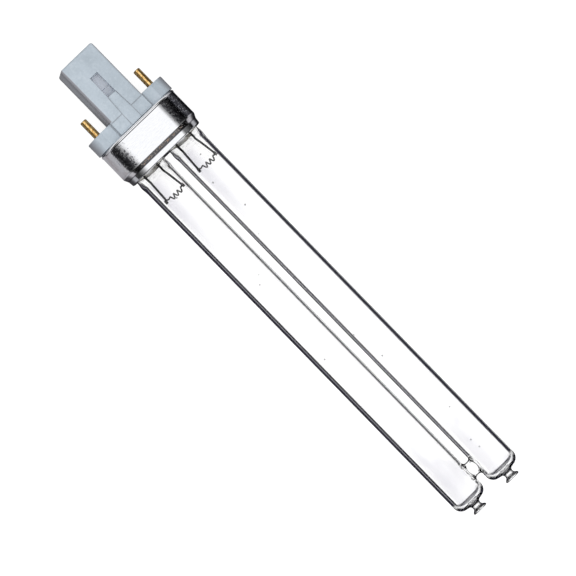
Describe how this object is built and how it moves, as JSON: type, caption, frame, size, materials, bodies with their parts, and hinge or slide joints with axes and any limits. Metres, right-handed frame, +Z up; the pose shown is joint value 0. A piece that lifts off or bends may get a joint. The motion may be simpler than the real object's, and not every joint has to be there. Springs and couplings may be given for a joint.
{
  "type": "uv-c lamp",
  "caption": "Compact germicidal UV-C discharge lamp: clear glass twin tube joined by a bridge, coiled filaments, metal shell and plastic plug-in post with contact pins.",
  "frame": {"origin": "centre of the lamp's bounding box on the surface it lies on", "axes": "+X along the lamp from the post towards the glass tips (the lamp lies tipped 1.3 degrees, tips low), +Y across from the left pin to the right pin, +Z up, the front with the latch channel"},
  "size_m": [0.188, 0.0312, 0.0187],
  "materials": {
    "plastic": "light blue-grey moulded plastic, satin",
    "brass": "bright drawn brass",
    "shell_metal": "polished, faintly brushed round the cap",
    "lamp_glass": "clear, polished",
    "tungsten": "dark coiled tungsten with oxide coating",
    "lead_metal": "dark nickel-iron wire",
    "cement": "matte basing cement",
    "starter_glass": "clear",
    "bimetal": "bare bimetal strip",
    "capacitor_coat": "dipped coating",
    "tinned_wire": "tinned copper",
    "sleeve": "glass-fibre sleeving"
  },
  "bodies": {
    "root": {"base_housing": "plastic", "contact_pin_left": "brass", "contact_pin_right": "brass", "metal_shell": "shell_metal", "glass_envelope": "lamp_glass", "filament_left": "tungsten", "filament_right": "tungsten", "lead_wire_left_outer": "lead_metal", "lead_wire_left_inner": "lead_metal", "lead_wire_right_inner": "lead_metal", "lead_wire_right_outer": "lead_metal", "basing_cement": "cement", "starter_bulb": "starter_glass", "starter_fixed_electrode": "lead_metal", "starter_bimetal_electrode": "bimetal", "suppressor_capacitor": "capacitor_coat", "capacitor_lead_left": "tinned_wire", "capacitor_lead_right": "tinned_wire", "insulating_sleeve_left": "sleeve", "insulating_sleeve_right": "sleeve"}
  },
  "joints": []
}
